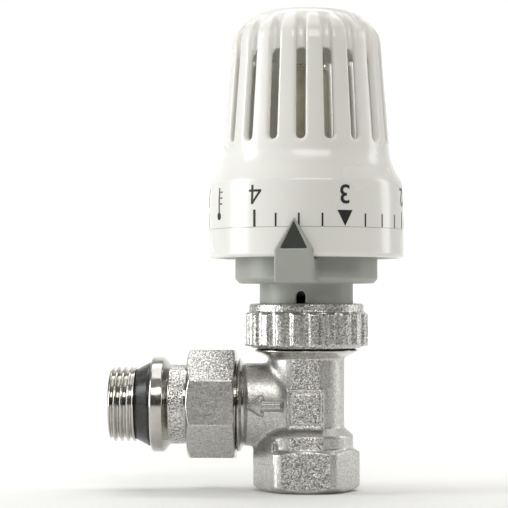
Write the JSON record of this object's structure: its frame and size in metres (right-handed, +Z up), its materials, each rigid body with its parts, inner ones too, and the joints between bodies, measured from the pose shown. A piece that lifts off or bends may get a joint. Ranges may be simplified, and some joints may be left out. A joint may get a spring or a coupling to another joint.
{
  "type": "thermostatic radiator valve",
  "caption": "Angle-pattern radiator valve with a forged body, union tail, knurled head nut and a slotted thermostatic handwheel whose sensor drives the spindle.",
  "frame": {"origin": "centre of the inlet socket's mouth, on the bottom face of the body", "axes": "+Z up along the spindle to the head, -X along the outlet branch to the radiator, -Y towards the pointer"},
  "size_m": [0.0822, 0.0566, 0.1353],
  "materials": {
    "nickel_forged": "nickel plate over a fine forged grain, bright on the turned faces",
    "nickel_turned": "bright nickel plate over turned brass",
    "black_rubber": "smooth, slightly glossy",
    "brass": "machined",
    "stainless": "drawn or machined",
    "grey_plastic": "satin moulded",
    "dark_plastic": "satin",
    "white_plastic": "warm white, glossy, moulded",
    "olive_metal": "drawn, slightly dull"
  },
  "bodies": {
    "valve": {"valve_body": "nickel_forged", "valve_insert": "brass", "insert_o_ring": "black_rubber", "gland_nut": "brass", "gland_o_ring": "black_rubber", "return_spring": "stainless", "tailpiece": "nickel_turned", "tail_seal": "black_rubber", "tail_snap_ring": "stainless", "head_base": "grey_plastic", "pointer_mark": "dark_plastic", "head_nut_snap_ring": "stainless", "handwheel_catch_ring": "stainless"},
    "handwheel": {"handwheel": "white_plastic"},
    "carrier": {"sensor_carrier": "grey_plastic", "sensor": "olive_metal"},
    "stem": {"sensor_pin": "stainless", "spring_cup": "stainless", "overtravel_spring": "stainless", "push_rod": "white_plastic", "spindle": "stainless", "spindle_clip": "stainless", "disc_holder": "brass", "disc_seal": "black_rubber", "disc_retainer": "brass"},
    "head_nut": {"head_nut": "nickel_turned"},
    "union_nut": {"union_nut": "nickel_forged"}
  },
  "joints": [
    {"name": "handwheel_turn", "type": "hinge", "parent": "valve", "child": "handwheel", "pos_m": [0, 0, 0.08], "axis": [0, 0, 1], "range_deg": [-198, 83]},
    {"name": "carrier_slide", "type": "slide", "parent": "valve", "child": "carrier", "axis": [0, 0, 1], "range_m": [-0.00225, 0.00094]},
    {"name": "sensor_stroke", "type": "slide", "parent": "carrier", "child": "stem", "axis": [0, 0, 1], "range_m": [-0.0008, 0.0006], "stiffness_N_per_m": 5000, "deforming": ["return_spring"]},
    {"name": "head_nut_turn", "type": "hinge", "parent": "valve", "child": "head_nut", "pos_m": [0, 0, 0.046], "axis": [0, 0, 1], "continuous": true},
    {"name": "union_nut_turn", "type": "hinge", "parent": "valve", "child": "union_nut", "pos_m": [-0.026, 0, 0.024], "axis": [1, 0, 0], "continuous": true}
  ],
  "couplings": [
    {"joint": "handwheel_turn", "follows": "carrier_slide", "rad_per_m": 1533.7}
  ]
}
